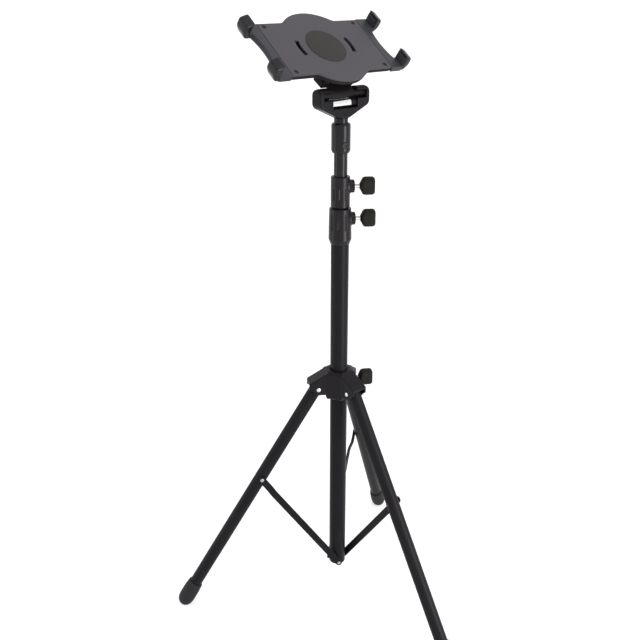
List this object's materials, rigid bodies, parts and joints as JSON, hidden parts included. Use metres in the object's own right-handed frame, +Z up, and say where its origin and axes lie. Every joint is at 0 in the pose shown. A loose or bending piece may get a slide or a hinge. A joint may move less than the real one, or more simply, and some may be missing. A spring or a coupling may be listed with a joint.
{
  "type": "tablet floor stand",
  "caption": "Free-standing tablet stand: folding tripod, telescopic mast with clamp knobs, and a tilting, turning holder whose sprung hook jaws grip a tablet.",
  "frame": {"origin": "on the floor, under the mast's axis", "axes": "+Z up along the mast, -Y the way the tablet holder faces, +X to the right seen from the front"},
  "size_m": [0.4488, 0.392, 0.8878],
  "materials": {
    "satin_black": "satin powder coat",
    "black_plastic": "moulded, fine grain",
    "knob_plastic": "matte, slightly soft",
    "plate_grey": "fine grain",
    "pad_brown": "matte",
    "jaw_blue_grey": "semi-gloss",
    "rubber": "matte",
    "steel": "bright",
    "chrome": "polished",
    "brass": "turned",
    "nylon": "moulded"
  },
  "bodies": {
    "column": {"column_tube": "satin_black", "column_plug": "black_plastic", "column_rivets": "steel", "lower_collar": "black_plastic", "lower_bush": "nylon", "lower_nut": "brass"},
    "lower_pad": {"lower_pad": "rubber"},
    "lower_knob": {"lower_screw": "steel", "lower_knob": "knob_plastic"},
    "mid_stage": {"mid_tube": "satin_black", "mid_glide": "nylon", "upper_collar": "black_plastic", "upper_bush": "nylon", "upper_nut": "brass"},
    "upper_pad": {"upper_pad": "rubber"},
    "upper_knob": {"upper_screw": "steel", "upper_knob": "knob_plastic"},
    "upper_stage": {"upper_tube": "satin_black", "upper_glide": "nylon"},
    "head": {"head_sleeve": "satin_black", "sleeve_screw": "satin_black", "head_yoke": "black_plastic", "tilt_pin": "steel", "tilt_washers": "black_plastic", "tension_bolt": "chrome", "tension_nut": "black_plastic"},
    "bracket": {"swivel_bracket": "black_plastic"},
    "holder": {"swivel_bolt": "steel", "swivel_nut": "steel", "front_plate": "plate_grey", "rear_cover": "black_plastic", "centre_pad": "pad_brown", "plate_screws": "satin_black", "jaw_springs": "steel"},
    "left_jaw": {"left_jaw": "jaw_blue_grey", "left_jaw_pads": "rubber"},
    "right_jaw": {"right_jaw": "jaw_blue_grey", "right_jaw_pads": "rubber"},
    "hub": {"leg_hub": "black_plastic", "hub_rivets": "steel", "hub_nut": "brass"},
    "hub_pad": {"hub_pad": "rubber"},
    "hub_knob": {"hub_screw": "steel", "hub_knob": "knob_plastic"},
    "front_brace": {"front_brace": "satin_black"},
    "front_leg": {"front_leg": "satin_black", "front_foot": "rubber", "front_leg_rivet": "steel"},
    "right_brace": {"right_brace": "satin_black"},
    "right_leg": {"right_leg": "satin_black", "right_foot": "rubber", "right_leg_rivet": "steel"},
    "left_brace": {"left_brace": "satin_black"},
    "left_leg": {"left_leg": "satin_black", "left_foot": "rubber", "left_leg_rivet": "steel"}
  },
  "joints": [
    {"name": "leg_fold", "type": "hinge", "parent": "column", "child": "front_brace", "pos_m": [0, 0, 0.05402], "axis": [-1, 0, 0], "range_deg": [0, 26.59]},
    {"name": "front_leg_fold", "type": "hinge", "parent": "front_brace", "child": "front_leg", "pos_m": [0, -0.11968, 0.22047], "axis": [1, 0, 0], "range_deg": [-0.02, 57.46]},
    {"name": "right_brace_fold", "type": "hinge", "parent": "column", "child": "right_brace", "pos_m": [0, 0, 0.05402], "axis": [0.5, -0.866, 0], "range_deg": [-0.02, 26.61]},
    {"name": "right_leg_fold", "type": "hinge", "parent": "right_brace", "child": "right_leg", "pos_m": [0.10364, 0.05984, 0.22047], "axis": [-0.5, 0.866, 0], "range_deg": [-0.02, 57.46]},
    {"name": "left_brace_fold", "type": "hinge", "parent": "column", "child": "left_brace", "pos_m": [0, 0, 0.05402], "axis": [0.5, 0.866, 0], "range_deg": [-0.02, 26.61]},
    {"name": "left_leg_fold", "type": "hinge", "parent": "left_brace", "child": "left_leg", "pos_m": [-0.10364, 0.05984, 0.22047], "axis": [-0.5, -0.866, 0], "range_deg": [-0.02, 57.46]},
    {"name": "hub_level", "type": "hinge", "parent": "front_leg", "child": "hub", "pos_m": [0, -0.0325, 0.36641], "axis": [-1, 0, 0], "range_deg": [-0.02, 30.87]},
    {"name": "mid_slide", "type": "slide", "parent": "column", "child": "mid_stage", "axis": [0, 0, 1], "range_m": [0, 0.4]},
    {"name": "upper_slide", "type": "slide", "parent": "mid_stage", "child": "upper_stage", "axis": [0, 0, 1], "range_m": [-0.03, 0.4]},
    {"name": "head_pan", "type": "hinge", "parent": "upper_stage", "child": "head", "pos_m": [0, 0, 0.71152], "axis": [0, 0, 1], "range_deg": [-180, 180]},
    {"name": "holder_tilt", "type": "hinge", "parent": "head", "child": "bracket", "pos_m": [0, 0, 0.78802], "axis": [1, 0, 0], "range_deg": [-37, 42]},
    {"name": "holder_turn", "type": "hinge", "parent": "bracket", "child": "holder", "pos_m": [0, 0.03057, 0.84577], "axis": [0, -0.6115, 0.7912], "continuous": true},
    {"name": "left_jaw_slide", "type": "slide", "parent": "holder", "child": "left_jaw", "axis": [-1, 0, 0], "range_m": [0, 0.02], "stiffness_N_per_m": 300, "springref_m": -0.03},
    {"name": "right_jaw_slide", "type": "slide", "parent": "holder", "child": "right_jaw", "axis": [1, 0, 0], "range_m": [0, 0.02], "stiffness_N_per_m": 300, "springref_m": -0.03},
    {"name": "lower_pad_slide", "type": "slide", "parent": "column", "child": "lower_pad", "axis": [0.829, -0.5592, 0], "range_m": [0, 0.002]},
    {"name": "lower_knob_turn", "type": "hinge", "parent": "lower_pad", "child": "lower_knob", "pos_m": [0.03316, -0.02237, 0.62052], "axis": [0.829, -0.5592, 0], "range_deg": [-1, 721]},
    {"name": "upper_pad_slide", "type": "slide", "parent": "mid_stage", "child": "upper_pad", "axis": [0.829, -0.5592, 0], "range_m": [0, 0.002]},
    {"name": "upper_knob_turn", "type": "hinge", "parent": "upper_pad", "child": "upper_knob", "pos_m": [0.03316, -0.02237, 0.66552], "axis": [0.829, -0.5592, 0], "range_deg": [-1, 721]},
    {"name": "hub_pad_slide", "type": "slide", "parent": "hub", "child": "hub_pad", "axis": [0.866, -0.5, 0], "range_m": [0, 0.002]},
    {"name": "hub_knob_turn", "type": "hinge", "parent": "hub_pad", "child": "hub_knob", "pos_m": [0.03464, -0.02, 0.37591], "axis": [0.866, -0.5, 0], "range_deg": [-1, 721]}
  ],
  "couplings": [
    {"joint": "front_leg_fold", "follows": "leg_fold", "ratio": 2.16},
    {"joint": "right_brace_fold", "follows": "leg_fold", "ratio": 1},
    {"joint": "right_leg_fold", "follows": "leg_fold", "ratio": 2.16},
    {"joint": "left_brace_fold", "follows": "leg_fold", "ratio": 1},
    {"joint": "left_leg_fold", "follows": "leg_fold", "ratio": 2.16},
    {"joint": "hub_level", "follows": "leg_fold", "ratio": 1.16},
    {"joint": "lower_knob_turn", "follows": "lower_pad_slide", "rad_per_m": 6283.2},
    {"joint": "upper_knob_turn", "follows": "upper_pad_slide", "rad_per_m": 6283.2},
    {"joint": "hub_knob_turn", "follows": "hub_pad_slide", "rad_per_m": 6283.2}
  ]
}
